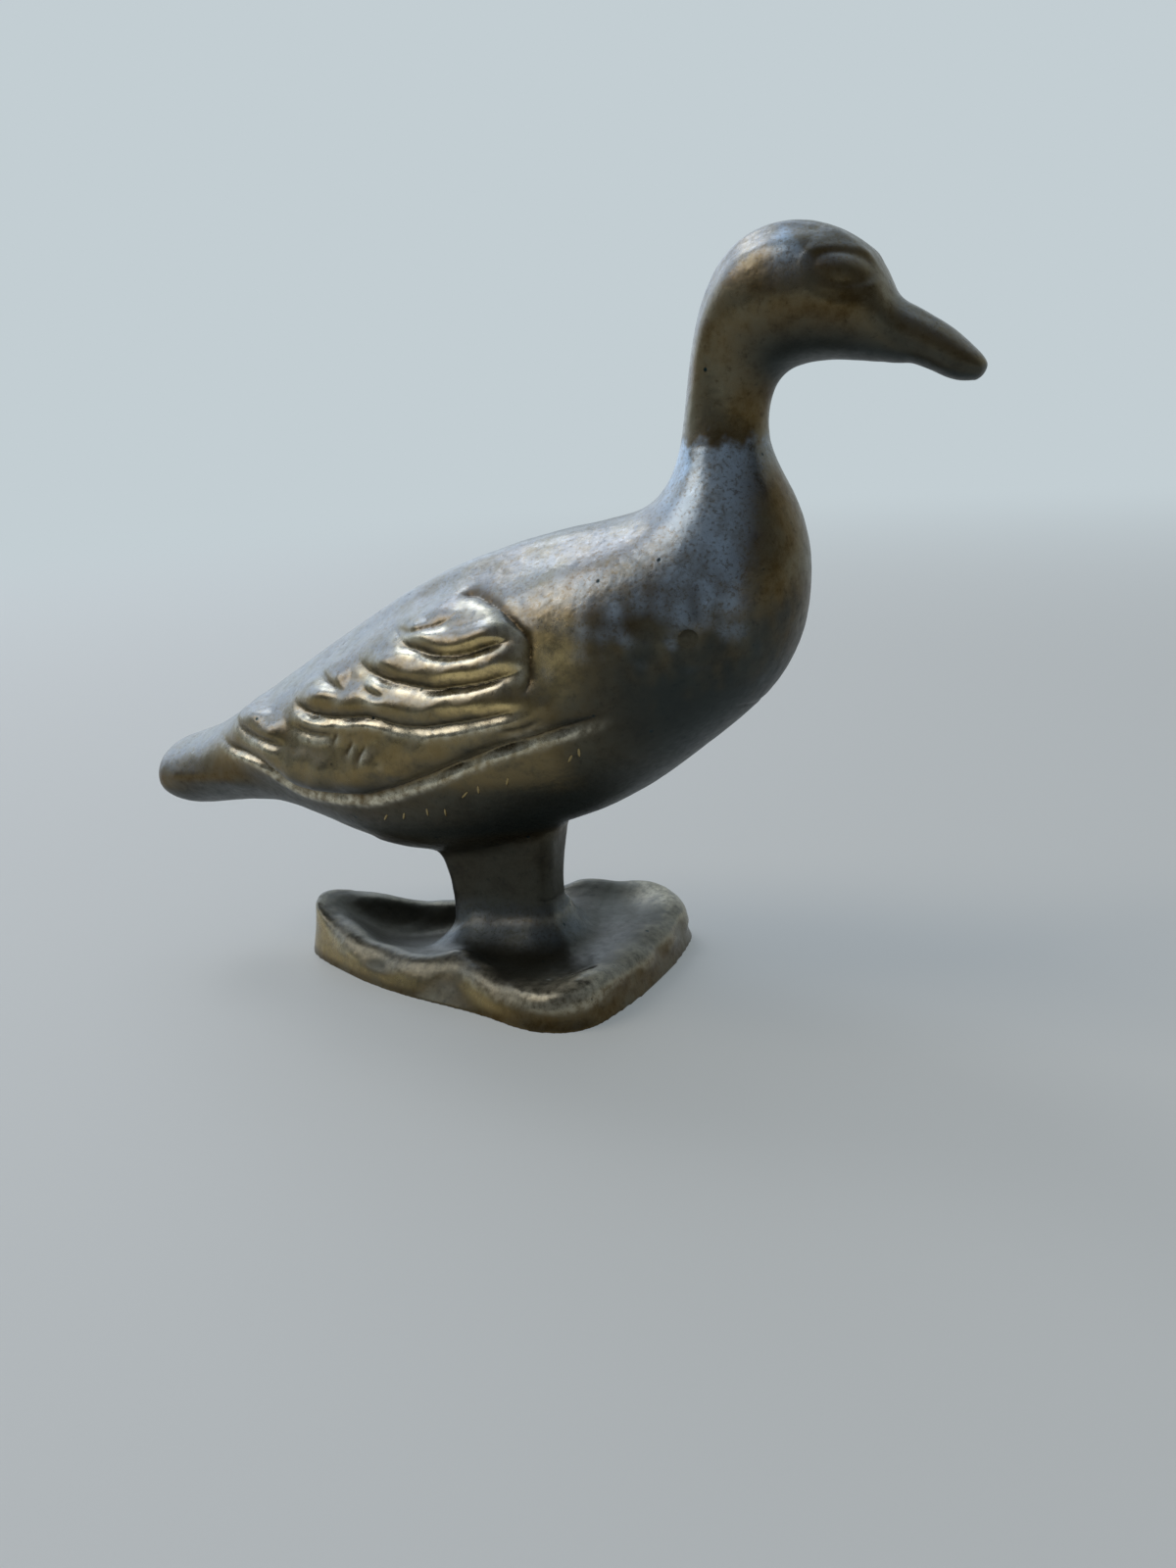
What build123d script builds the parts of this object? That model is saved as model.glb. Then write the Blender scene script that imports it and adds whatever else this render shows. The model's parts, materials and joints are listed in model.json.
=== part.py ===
from build123d import *
import os
from math import cos, pi, sin

os.makedirs("parts", exist_ok=True)

# A standing duck cast in brass, in millimetres. +X is forward, towards the bill, +Y is the duck's left, +Z is up.
# The origin is on the underside of the foot base, below the middle of the leg.

# Hollow body, from the tip of the tail to the front of the breast
body_length = 119.4
body_width = 44.0
body_depth = 54.8
belly_height = 19.8
tail_reach = 65.8
wall = 3.0

# Folded wings, as layers that each stand out further than the one below
wing_layer_step = 0.9
wing_inner_gap = 3.0

# Neck, from the top of the back to the throat, set back from the front of the breast
neck_length = 21.0
neck_thickness = 12.6
neck_width = 12.4
neck_setback = 12.1

# Head and bill
head_length = 30.4
head_height = 19.4
head_width = 17.8
bill_length = 12.4
bill_depth = 9.4
bill_width = 8.6
bill_drop = 1.0
eye_diameter = 4.0
eye_rise = 0.5

# Spigot of the neck and tenon of the leg, with the cross pins that hold them
spigot_diameter = 6.8
spigot_length = 13.0
tenon_length = 12.0
tenon_width = 5.6
tenon_height = 12.0
dowel_diameter = 2.4
neck_dowel_length = 12.0
leg_dowel_length = 15.0
fit = 0.05

# Boss inside the belly that the tenon goes up into
boss_margin = 3.5

# Pins that line the two halves up, and the plugs of the core pin's holes,
# set back from the front of the breast and up from the belly
seam_dowel_diameter = 2.0
seam_dowel_length = 9.0
seam_boss_diameter = 7.0
core_plug_diameter = 2.9
core_plug_setback = 13.1
core_plug_rise = 39.1

# Leg post and foot base
leg_length = 19.8
leg_width = 8.0
leg_flare = 1.6
base_length = 66.0
base_width = 51.5
base_heel_reach = 38.5
base_thickness = 7.0
base_tilt = 3.0
base_draft = 1.6
heel_lip_rise = 3.2
dish_floor = 4.0
rim_width = 4.2
ridge_diameter = 6.0

# Points round each oval section
section_points = 16


def body_station(back_x, back_z, front_x, front_z, width):
    """Station of the body, in shares of its length, depth and width."""
    return (
        body_length * back_x - tail_reach,
        body_depth * back_z + belly_height,
        body_length * front_x - tail_reach,
        body_depth * front_z + belly_height,
        body_width * width / 2,
    )


def neck_station(back_x, back_z, front_x, front_z, width):
    """Station of the neck, in shares of its thickness, length and width, from the top of the back."""
    return (
        neck_thickness * back_x + neck_x,
        neck_length * back_z + back_height,
        neck_thickness * front_x + neck_x,
        neck_length * front_z + back_height,
        neck_width * width / 2,
    )


def head_station(back_x, back_z, front_x, front_z, width):
    """Station of the head, in shares of its length, height and width, from the nape and the throat."""
    return (
        head_length * back_x + nape_x,
        head_height * back_z + throat_height,
        head_length * front_x + nape_x,
        head_height * front_z + throat_height,
        head_width * width / 2,
    )


def bill_station(back_x, back_z, front_x, front_z, width):
    """Station of the bill, in shares of its length, depth and width, from where it leaves the face."""
    return (
        bill_length * back_x + face_x,
        bill_depth * back_z + throat_height - bill_drop,
        bill_length * front_x + face_x,
        bill_depth * front_z + throat_height - bill_drop,
        bill_width * width / 2,
    )


def station_middle(station):
    """X and Z of the middle of a station's oval."""
    back_x, back_z, front_x, front_z, half_width = station
    return (back_x + front_x) / 2, (back_z + front_z) / 2


def station_between(first, second):
    """Station half way between two others."""
    return tuple((one + other) / 2 for one, other in zip(first, second))


def oval_plane(station):
    """Plane of a station: its X axis runs from the belly side to the back, its Y axis is the duck's left."""
    back_x, back_z, front_x, front_z, half_width = station
    middle_x, middle_z = station_middle(station)
    rise = Vector(back_x - front_x, 0, back_z - front_z)
    return Plane(origin=(middle_x, 0, middle_z), x_dir=rise, z_dir=rise.cross(Vector(0, 1, 0)))


def oval_points(station, inset, widening):
    """Points round the oval of a station, drawn inwards by inset and made wider by widening on each side."""
    back_x, back_z, front_x, front_z, half_width = station
    half_depth = Vector(back_x - front_x, 0, back_z - front_z).length / 2 - inset
    half_width = half_width - inset + widening
    turns = [2 * pi * step / section_points for step in range(section_points)]
    return [(half_depth * cos(turn), half_width * sin(turn)) for turn in turns]


def oval_loft(stations, inset=0.0, widening=0.0):
    """Smooth solid through the ovals of the stations, each drawn as a left half and a right half."""
    half = section_points // 2
    with BuildPart() as solid:
        for station in stations:
            points = oval_points(station, inset, widening)
            with BuildSketch(oval_plane(station)):
                with BuildLine():
                    Spline(*points[: half + 1], tangents=[(0, 1), (0, -1)])
                    Spline(*points[half:], points[0], tangents=[(0, -1), (0, 1)])
                make_face()
        loft()
    return solid.part


# Heights and places that follow from the sizes above
back_height = belly_height + body_depth
throat_height = back_height + neck_length
breast_x = body_length - tail_reach
neck_x = breast_x - neck_setback
nape_x = neck_x - 0.4 * neck_thickness
face_x = nape_x + head_length
core_plug_place = (breast_x - core_plug_setback, belly_height + core_plug_rise)

# Stations from tail to bill: X and Z on the back, X and Z on the belly side, width
body_stations = [
    body_station(0.000, 0.270, 0.002, 0.160, 0.26),
    body_station(0.019, 0.307, 0.022, 0.110, 0.40),
    body_station(0.070, 0.342, 0.074, 0.100, 0.46),
    body_station(0.132, 0.402, 0.145, 0.120, 0.55),
    body_station(0.216, 0.508, 0.233, 0.124, 0.68),
    body_station(0.333, 0.661, 0.342, 0.062, 0.85),
    body_station(0.467, 0.821, 0.476, 0.007, 0.96),
    body_station(0.601, 0.930, 0.635, 0.100, 1.00),
    body_station(0.698, 0.981, 0.769, 0.223, 0.97),
    body_station(0.756, 1.004, 0.874, 0.387, 0.89),
    body_station(0.792, 1.026, 0.963, 0.573, 0.76),
    body_station(0.817, 1.069, 0.998, 0.803, 0.60),
]
neck_stations = [
    neck_station(-0.595, 0.371, 0.817, 0.067, 1.52),
    neck_station(-0.524, 0.575, 0.532, 0.415, 1.13),
    neck_station(-0.452, 0.905, 0.500, 0.705, 1.00),
    neck_station(-0.357, 1.219, 0.643, 0.914, 1.06),
]
head_stations = [
    head_station(0.099, 0.588, 0.559, 0.000, 0.88),
    head_station(0.276, 0.897, 0.691, 0.010, 0.99),
    head_station(0.533, 0.995, 0.776, -0.005, 1.00),
    head_station(0.763, 0.887, 0.862, -0.021, 0.92),
    head_station(0.908, 0.691, 0.947, -0.036, 0.74),
]
bill_stations = [
    bill_station(0.000, 1.000, 0.065, 0.000, 1.14),
    bill_station(0.258, 0.755, 0.258, -0.053, 1.00),
    bill_station(0.597, 0.457, 0.468, -0.181, 0.95),
    bill_station(0.871, 0.149, 0.694, -0.287, 0.81),
    bill_station(0.984, -0.074, 0.871, -0.298, 0.51),
]
collar = neck_stations[1]
spigot_x, neck_joint_z = station_middle(collar)

neck_dowel_z = neck_joint_z - spigot_length / 2
leg_dowel_z = belly_height + 0.7 * tenon_height
eye_x = nape_x + 0.80 * head_length
eye_y = 0.405 * head_width + eye_rise - eye_diameter / 2
eye_z = throat_height + 0.62 * head_height

# X and Z of the seam's pins: in the tail, under the back, in the breast
seam_dowel_places = [
    (body_length * x - tail_reach, body_depth * z + belly_height)
    for x, z in ((0.140, 0.250), (0.551, 0.795), (0.953, 0.861))
]

# Half outline of the foot base from heel to toe, in shares of its length and half width
base_half_outline = [
    (0.000, 0.000), (0.037, 0.225), (0.141, 0.412), (0.267, 0.575), (0.474, 0.753),
    (0.711, 0.901), (0.852, 0.994), (0.933, 0.917), (0.982, 0.602), (1.000, 0.000),
]
base_front_x = base_length - base_heel_reach
rim_profile = [
    (base_heel_reach, base_thickness + heel_lip_rise),
    (0.88 * base_heel_reach, base_thickness + 0.75 * heel_lip_rise),
    (0.66 * base_heel_reach, base_thickness),
    (0, base_thickness),
    (-base_front_x, base_thickness),
]
ridge_place = (-0.2 * leg_length, 0, base_thickness - ridge_diameter / 2)
base_across = Vector(0, 1, 0).rotate(Axis.X, base_tilt)
base_crown = base_thickness + heel_lip_rise + base_across.Z * base_width / 2
leg_corner = 0.32 * leg_width
leg_sections = [
    (dish_floor - leg_flare, 2 * leg_flare),
    (dish_floor + leg_flare, leg_flare),
    ((dish_floor + belly_height) / 2, 0),
    (belly_height, 0.4 * leg_flare),
    (belly_height + tenon_height / 2, 1.4 * leg_flare),
]


def base_outline(inset):
    """Whole outline of the foot base, drawn inwards by inset."""
    middle = base_length / 2 - base_heel_reach
    reach = base_length / 2 - inset
    half_width = base_width / 2 - inset
    near = [(middle + (2 * x - 1) * reach, -y * half_width) for x, y in base_half_outline]
    far = [(x, -y) for x, y in reversed(near[1:-1])]
    return near + far


# Side outlines of the wing's layers, in shares of the body's length and depth
wing_outlines = [
    [
        (0.135, 0.370), (0.240, 0.285), (0.350, 0.232), (0.445, 0.255), (0.530, 0.335), (0.620, 0.410),
        (0.720, 0.460), (0.725, 0.560), (0.700, 0.700), (0.640, 0.805), (0.550, 0.820), (0.420, 0.690),
        (0.260, 0.500),
    ],
    [
        (0.310, 0.527), (0.385, 0.487), (0.500, 0.465), (0.600, 0.490), (0.690, 0.550), (0.703, 0.640),
        (0.680, 0.745), (0.620, 0.812), (0.530, 0.795), (0.420, 0.670),
    ],
    [
        (0.480, 0.675), (0.560, 0.650), (0.630, 0.665), (0.675, 0.715), (0.640, 0.775), (0.560, 0.785),
    ],
]


def wing_layer(outline, layer):
    """Part of a widened body inside a wing outline, on the right side. The outline runs below to its front, then back above."""
    corners = [(body_length * x - tail_reach, body_depth * z + belly_height) for x, z in outline]
    front = len(corners) // 2
    with BuildPart() as pad:
        with BuildSketch(Plane.XZ.offset(wing_inner_gap)):
            with BuildLine():
                Spline(*corners[: front + 1])
                Spline(*corners[front:], corners[0])
            make_face()
        extrude(amount=body_width)
        add(oval_loft(body_stations[2:], widening=layer * wing_layer_step), mode=Mode.INTERSECT)
    return pad.part


# Skin of the whole casting, and the hollow inside its body
skin = oval_loft(body_stations + neck_stations + head_stations + bill_stations)
hollow = oval_loft(body_stations[4:11] + [station_between(body_stations[10], body_stations[11])], inset=wall)

# Boss that the leg's tenon goes up into, kept inside the skin
tenon_top = belly_height + tenon_height
with BuildPart() as leg_boss:
    with BuildSketch():
        Rectangle(tenon_length + 2 * boss_margin, leg_dowel_length + 2 * boss_margin)
    extrude(amount=tenon_top + boss_margin)
    add(skin, mode=Mode.INTERSECT)

# Boss under the back for the middle pin of the seam
with BuildPart() as seam_boss:
    with BuildSketch(Plane.XZ):
        with Locations(seam_dowel_places[1]):
            Circle(seam_boss_diameter / 2)
    extrude(amount=seam_dowel_length / 2 + boss_margin, both=True)
    add(skin, mode=Mode.INTERSECT)

# Holes through both halves of the body
with BuildPart() as body_holes:
    with BuildSketch(Plane.XY.offset(neck_joint_z)):
        with Locations((spigot_x, 0)):
            Circle(spigot_diameter / 2 + fit)
    extrude(amount=-(spigot_length + fit))
    with BuildSketch():
        Rectangle(tenon_length + 2 * fit, tenon_width + 2 * fit)
    extrude(amount=tenon_top + fit)
    with BuildSketch(Plane.XZ):
        with Locations((spigot_x, neck_dowel_z)):
            Circle(dowel_diameter / 2 + fit)
    extrude(amount=neck_dowel_length / 2 + fit, both=True)
    with BuildSketch(Plane.XZ):
        with Locations((0, leg_dowel_z)):
            Circle(dowel_diameter / 2 + fit)
    extrude(amount=leg_dowel_length / 2 + fit, both=True)
    with BuildSketch(Plane.XZ):
        with Locations(*seam_dowel_places):
            Circle(seam_dowel_diameter / 2 + fit)
    extrude(amount=seam_dowel_length / 2 + fit, both=True)
    with BuildSketch(Plane.XZ):
        with Locations(core_plug_place):
            Circle(core_plug_diameter / 2 + fit)
    extrude(amount=body_width, both=True)

with BuildPart() as right_body_shell:
    add(skin)
    split(bisect_by=Plane.XY.offset(neck_joint_z), keep=Keep.BOTTOM)
    add(hollow, mode=Mode.SUBTRACT)
    add(leg_boss.part)
    add(seam_boss.part)
    split(bisect_by=Plane.XZ, keep=Keep.TOP)
    for number, outline in enumerate(wing_outlines):
        add(wing_layer(outline, number + 1))
    add(body_holes.part, mode=Mode.SUBTRACT)
right_body_shell.part.label = "right_body_shell"
export_step(right_body_shell.part, "parts/right_body_shell.step")

with BuildPart() as left_body_shell:
    mirror(right_body_shell.part, about=Plane.XZ)
left_body_shell.part.label = "left_body_shell"
export_step(left_body_shell.part, "parts/left_body_shell.step")

with BuildPart() as head_and_neck:
    add(skin)
    split(bisect_by=Plane.XY.offset(neck_joint_z), keep=Keep.TOP)
    with Locations((eye_x, eye_y, eye_z), (eye_x, -eye_y, eye_z)):
        Sphere(eye_diameter / 2)
    with BuildSketch(Plane.XY.offset(neck_joint_z)):
        with Locations((spigot_x, 0)):
            Circle(spigot_diameter / 2)
    extrude(amount=-spigot_length)
    with BuildSketch(Plane.XZ):
        with Locations((spigot_x, neck_dowel_z)):
            Circle(dowel_diameter / 2 + fit)
    extrude(amount=spigot_diameter, both=True, mode=Mode.SUBTRACT)
head_and_neck.part.label = "head_and_neck"
export_step(head_and_neck.part, "parts/head_and_neck.step")

# Block of the base's outline, with its sides drawn in towards the top
with BuildPart() as base_block:
    for height, inset in ((0, 0), (base_crown, base_draft)):
        with BuildSketch(Plane.XY.offset(height)):
            with BuildLine():
                Spline(*base_outline(inset), periodic=True)
            make_face()
    loft()

# Ridge across the base beside the leg, tilted like the base's top
with BuildPart() as base_ridge:
    with BuildSketch(Plane(origin=ridge_place, x_dir=(1, 0, 0), z_dir=base_across)):
        Circle(ridge_diameter / 2)
    extrude(amount=base_width, both=True)
    add(base_block.part, mode=Mode.INTERSECT)

with BuildPart() as foot_base:
    add(base_block.part)
    with BuildSketch(Plane(origin=(0, 0, 0), x_dir=(-1, 0, 0), z_dir=base_across)):
        with BuildLine():
            rim_line = Spline(*rim_profile)
            Polyline(rim_line @ 1, (-base_front_x, -base_width), (base_heel_reach, -base_width), rim_line @ 0)
        make_face()
    extrude(amount=base_width, both=True, mode=Mode.INTERSECT)
    for height, inset in ((dish_floor, 2 * rim_width), (base_crown, rim_width)):
        with BuildSketch(Plane.XY.offset(height)):
            with BuildLine():
                Spline(*base_outline(inset), periodic=True)
            make_face()
    loft(mode=Mode.SUBTRACT)
    add(base_ridge.part)
    for height, spread in leg_sections:
        with BuildSketch(Plane.XY.offset(height)):
            RectangleRounded(leg_length + spread, leg_width + spread, leg_corner)
    loft()
    add(skin, mode=Mode.SUBTRACT)
    with BuildSketch(Plane.XY.offset(dish_floor)):
        Rectangle(tenon_length, tenon_width)
    extrude(amount=tenon_top - dish_floor)
    with BuildSketch(Plane.XZ):
        with Locations((0, leg_dowel_z)):
            Circle(dowel_diameter / 2 + fit)
    extrude(amount=leg_width, both=True, mode=Mode.SUBTRACT)
foot_base.part.label = "foot_base"
export_step(foot_base.part, "parts/foot_base.step")

with BuildPart() as neck_dowel:
    with BuildSketch(Plane.XZ):
        with Locations((spigot_x, neck_dowel_z)):
            Circle(dowel_diameter / 2)
    extrude(amount=neck_dowel_length / 2, both=True)
neck_dowel.part.label = "neck_dowel"
export_step(neck_dowel.part, "parts/neck_dowel.step")

with BuildPart() as leg_dowel:
    with BuildSketch(Plane.XZ):
        with Locations((0, leg_dowel_z)):
            Circle(dowel_diameter / 2)
    extrude(amount=leg_dowel_length / 2, both=True)
leg_dowel.part.label = "leg_dowel"
export_step(leg_dowel.part, "parts/leg_dowel.step")

with BuildPart() as seam_dowels:
    with BuildSketch(Plane.XZ):
        with Locations(*seam_dowel_places):
            Circle(seam_dowel_diameter / 2)
    extrude(amount=seam_dowel_length / 2, both=True)
seam_dowels.part.label = "seam_dowels"
export_step(seam_dowels.part, "parts/seam_dowels.step")

with BuildPart() as core_plugs:
    with BuildSketch(Plane.XZ):
        with Locations(core_plug_place):
            Circle(core_plug_diameter / 2)
    extrude(amount=body_width, both=True)
    add(skin, mode=Mode.INTERSECT)
    add(hollow, mode=Mode.SUBTRACT)
core_plugs.part.label = "core_plugs"
export_step(core_plugs.part, "parts/core_plugs.step")
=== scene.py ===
# %% [markdown]
# # A small duck cast in brass
# The real duck is a desk ornament about 115 mm tall. The model takes it for a hollow body with a solid
# neck and head and a leg on a dished foot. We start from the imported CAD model, which is called the frame
# here, and carve the feathers into a copy of its skin. The frame fixes every size, so nothing below has
# to be scaled or moved afterwards.

# %% Load the frame
import json
import math

import bmesh
import bpy
import numpy as np
from mathutils import Matrix, Vector
from mathutils.bvhtree import BVHTree

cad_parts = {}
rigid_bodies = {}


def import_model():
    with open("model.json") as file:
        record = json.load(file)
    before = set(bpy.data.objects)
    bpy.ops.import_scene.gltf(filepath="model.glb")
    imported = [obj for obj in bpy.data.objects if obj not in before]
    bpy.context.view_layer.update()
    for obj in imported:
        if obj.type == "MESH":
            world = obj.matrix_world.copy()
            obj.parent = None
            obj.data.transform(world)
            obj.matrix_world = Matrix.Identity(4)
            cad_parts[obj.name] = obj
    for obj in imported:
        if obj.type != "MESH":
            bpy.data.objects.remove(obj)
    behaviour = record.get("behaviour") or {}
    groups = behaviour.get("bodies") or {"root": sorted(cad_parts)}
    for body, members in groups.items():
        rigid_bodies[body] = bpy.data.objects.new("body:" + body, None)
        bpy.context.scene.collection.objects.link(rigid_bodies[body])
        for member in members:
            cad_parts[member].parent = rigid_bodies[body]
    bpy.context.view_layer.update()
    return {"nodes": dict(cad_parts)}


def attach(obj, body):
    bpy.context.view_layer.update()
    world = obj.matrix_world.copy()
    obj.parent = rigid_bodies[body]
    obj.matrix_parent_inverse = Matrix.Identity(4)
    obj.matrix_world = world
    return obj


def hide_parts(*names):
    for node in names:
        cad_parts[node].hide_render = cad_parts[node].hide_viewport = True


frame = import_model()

MM = 0.001
scene_objects = bpy.context.scene.collection.objects
print("nodes:", sorted(frame["nodes"]))

# %% [markdown]
# ## The camera
# A photograph fixes four things: where the camera stood, where it looked, how it was tipped, and its
# focal length. The focal length in pixels and the picture's long side give the lens for Blender's 36 mm
# sensor. A camera object looks along its own -Z, so its matrix is made of right, up and backward
# directions.

# %% Directions of the camera
camera_yaw = math.radians(25.0)
camera_pitch = math.radians(14.3)
camera_roll = math.radians(3.06)

level_right = Vector((math.cos(camera_yaw), math.sin(camera_yaw), 0))
level_ahead = Vector((-math.sin(camera_yaw), math.cos(camera_yaw), 0))
ahead = level_ahead * math.cos(camera_pitch) - Vector((0, 0, 1)) * math.sin(camera_pitch)
level_up = level_ahead * math.sin(camera_pitch) + Vector((0, 0, 1)) * math.cos(camera_pitch)
camera_right = level_right * math.cos(camera_roll) - level_up * math.sin(camera_roll)
camera_up = level_right * math.sin(camera_roll) + level_up * math.cos(camera_roll)
print("the camera looks along:", [round(c, 3) for c in ahead])

# %% Camera
PHOTO_LONG_SIDE = 1600
FOCAL_PIXELS = 1572
SENSOR = 36.0
CLIP_START = 0.01
camera_place = Vector((117.6, -217.5, 93.4)) * MM

camera_data = bpy.data.cameras.new("camera")
camera_data.sensor_width = SENSOR
camera_data.lens = FOCAL_PIXELS / PHOTO_LONG_SIDE * SENSOR
camera_data.clip_start = CLIP_START
camera = bpy.data.objects.new("camera", camera_data)
turn = Matrix((camera_right, camera_up, -ahead)).transposed()
camera.matrix_world = Matrix.Translation(camera_place) @ turn.to_4x4()
scene_objects.link(camera)
bpy.context.scene.camera = camera
bpy.context.scene.view_settings.view_transform = "Standard"
print("lens, mm:", round(camera_data.lens, 2))

# %% [markdown]
# ## One skin for the whole casting
# The forms of the real duck flow across the joints of the casting, as if it was modelled in one lump. We
# do the same: copies of the outer CAD pieces are merged and remeshed into one even grid of small faces. A
# voxel remesh gives such a grid. Carving needs points everywhere, and the CAD has them only at its edges.

# %% Gather the outer pieces
OUTER_NODES = ("right_body_shell", "left_body_shell", "head_and_neck", "foot_base", "core_plugs")
WELD = 1e-6
VOXEL = 0.34 * MM

lump = bmesh.new()
for node in OUTER_NODES:
    copy = bmesh.new()
    copy.from_mesh(frame["nodes"][node].data)
    bmesh.ops.remove_doubles(copy, verts=copy.verts, dist=WELD)
    welded = bpy.data.meshes.new("welded_" + node)
    copy.to_mesh(welded)
    copy.free()
    lump.from_mesh(welded)
    bpy.data.meshes.remove(welded)
lump_mesh = bpy.data.meshes.new("lump")
lump.to_mesh(lump_mesh)
lump.free()
lump_object = bpy.data.objects.new("lump", lump_mesh)
scene_objects.link(lump_object)
print("lump faces:", len(lump_mesh.polygons))

# %% Remesh it evenly
remesh = lump_object.modifiers.new("even_grid", "REMESH")
remesh.mode = "VOXEL"
remesh.voxel_size = VOXEL
graph = bpy.context.evaluated_depsgraph_get()
skin = bpy.data.meshes.new_from_object(lump_object.evaluated_get(graph))
bpy.data.objects.remove(lump_object)
bpy.data.meshes.remove(lump_mesh)
print("skin points:", len(skin.vertices), "faces:", len(skin.polygons))

# %% [markdown]
# ## Soften the skin
# Wax and sand never keep a crisp edge, so the steps and corners of the CAD have to melt together first.
# Plain averaging of neighbours shrinks thin parts, so on the foot each step inwards is followed by a
# slightly larger step out. The body, the ridge along the crown, the eyes and the tip of the bill are
# thick enough for plain averaging. The body ahead of the tail gets twice as many rounds, because there
# one would notice even a faint edge. A range such as smooth_step(28, 33, z) reads: none of it below 28 mm
# of height, all of it above 33 mm. With the larger number first it fades out upwards.


# %% Helpers for points
def point_array(mesh, owner, name):
    """Places or normals of a mesh's points as an array with one row for each."""
    values = np.empty(len(mesh.vertices) * 3)
    owner.foreach_get(name, values)
    return values.reshape(-1, 3)


def smooth_step(low, high, value):
    """0 up to low, 1 from high on, and a soft ramp between. Low may be the larger one."""
    share = np.clip((value - low) / (high - low), 0, 1)
    return share * share * (3 - 2 * share)


# %% Neighbours along the edges
edge_ends = np.empty(2 * len(skin.edges), np.int32)
skin.edges.foreach_get("vertices", edge_ends)
edge_start, edge_end = edge_ends.reshape(-1, 2).T
point_count = len(skin.vertices)
neighbour_count = np.bincount(edge_ends, minlength=point_count)
print("neighbours of a point:", neighbour_count.min(), "to", neighbour_count.max())


def neighbour_mean(values):
    """Mean of each point's neighbours along the edges."""
    columns = []
    for column in values.T:
        total = np.bincount(edge_start, column[edge_end], point_count)
        total = total + np.bincount(edge_end, column[edge_start], point_count)
        columns.append(total / neighbour_count)
    return np.stack(columns, axis=1)


# %% Soften the edges
EDGE_ROUNDS = 40
STEP_IN = 0.50
STEP_OUT = 0.53
LEAST_SHARE = 0.2

place = point_array(skin, skin.vertices, "co") / MM
x, y, z = place.T
foot_share = smooth_step(25, 21, z)
edge_share = np.maximum(foot_share, LEAST_SHARE)[:, None]
for step in range(EDGE_ROUNDS):
    place = place + edge_share * STEP_IN * (neighbour_mean(place) - place)
    place = place - edge_share * STEP_OUT * (neighbour_mean(place) - place)
print("softened edges, mm:", place.min(0).round(1), place.max(0).round(1))

# %% Soften the broad forms
PLAIN_ROUNDS = 120
EYE_X, EYE_Z = 60.6, 107.5

body_share = smooth_step(28, 33, z) * smooth_step(86, 76, z)
ridge_share = smooth_step(5.0, 2.0, abs(y)) * smooth_step(28, 33, z) * smooth_step(70, 64, x)
tip_share = 0.5 * smooth_step(72, 77, x)
eye_share = smooth_step(5.0, 3.0, np.hypot(x - EYE_X, z - EYE_Z))
plain_share = np.maximum(np.maximum(body_share, ridge_share), np.maximum(tip_share, eye_share))
plain_share = STEP_IN * plain_share[:, None]
for step in range(PLAIN_ROUNDS):
    place = place + plain_share * (neighbour_mean(place) - place)
back_share = STEP_IN * (body_share * smooth_step(-38, -28, x))[:, None]
for step in range(PLAIN_ROUNDS):
    place = place + back_share * (neighbour_mean(place) - place)
print("softened skin, mm:", place.min(0).round(1), place.max(0).round(1))

# %% [markdown]
# ## The foot and the leg
# The foot is like two webbed lobes. The heel curls up behind, the sides sink towards a waist beside the
# leg, and the far side rises in front. The CAD has a plain tray with an even rim, so the top of the foot
# gets a new height here. It is worked out on the plan, from the place along the foot and the distance to
# the rim, the webs and the leg. Then plain averaging rounds the rim, and the corners round the leg fill
# up, as wax does when it is pressed on.


# %% Draw a line
LINE_STEPS = 8


def drawn_line(*corners):
    """Smooth line through places of a view, in mm."""
    corners = np.array(corners, float)
    path = np.vstack([2 * corners[0] - corners[1], corners, 2 * corners[-1] - corners[-2]])
    t = np.linspace(0, 1, LINE_STEPS, endpoint=False)[:, None]
    runs = []
    for a, b, c, d in zip(path[:-3], path[1:-2], path[2:-1], path[3:]):
        runs.append(b + 0.5 * t * (c - a + t * (2 * a - 5 * b + 4 * c - d + t * (3 * b - a - 3 * c + d))))
    return np.vstack(runs + [corners[-1:]])


# %% Measure from a line
def line_reach(points, line):
    """How far each point is from a line in mm, on which side (1 left of its run), and how far along it."""
    gap = np.full(len(points), np.inf)
    side = np.ones(len(points))
    along = np.zeros(len(points))
    gone = 0.0
    for start, end in zip(line[:-1], line[1:]):
        run = end - start
        length = np.hypot(*run)
        offset = points - start
        share = np.clip(offset @ run / length**2, 0, 1)
        reach = np.hypot(*(offset - share[:, None] * run).T)
        nearer = reach < gap
        gap[nearer] = reach[nearer]
        side[nearer] = np.sign(run[0] * offset[:, 1] - run[1] * offset[:, 0])[nearer]
        along[nearer] = (gone + share * length)[nearer]
        gone += length
    return gap, side, along, gone


# %% Distances on the foot
FOOT_TOP = 13.0
WALL_SETBACK = 0.35
FAR_AWAY = 99.0
SHANK_HALF_LENGTH, SHANK_HALF_WIDTH, SHANK_ROUND = 7.3, 1.4, 2.6

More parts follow.
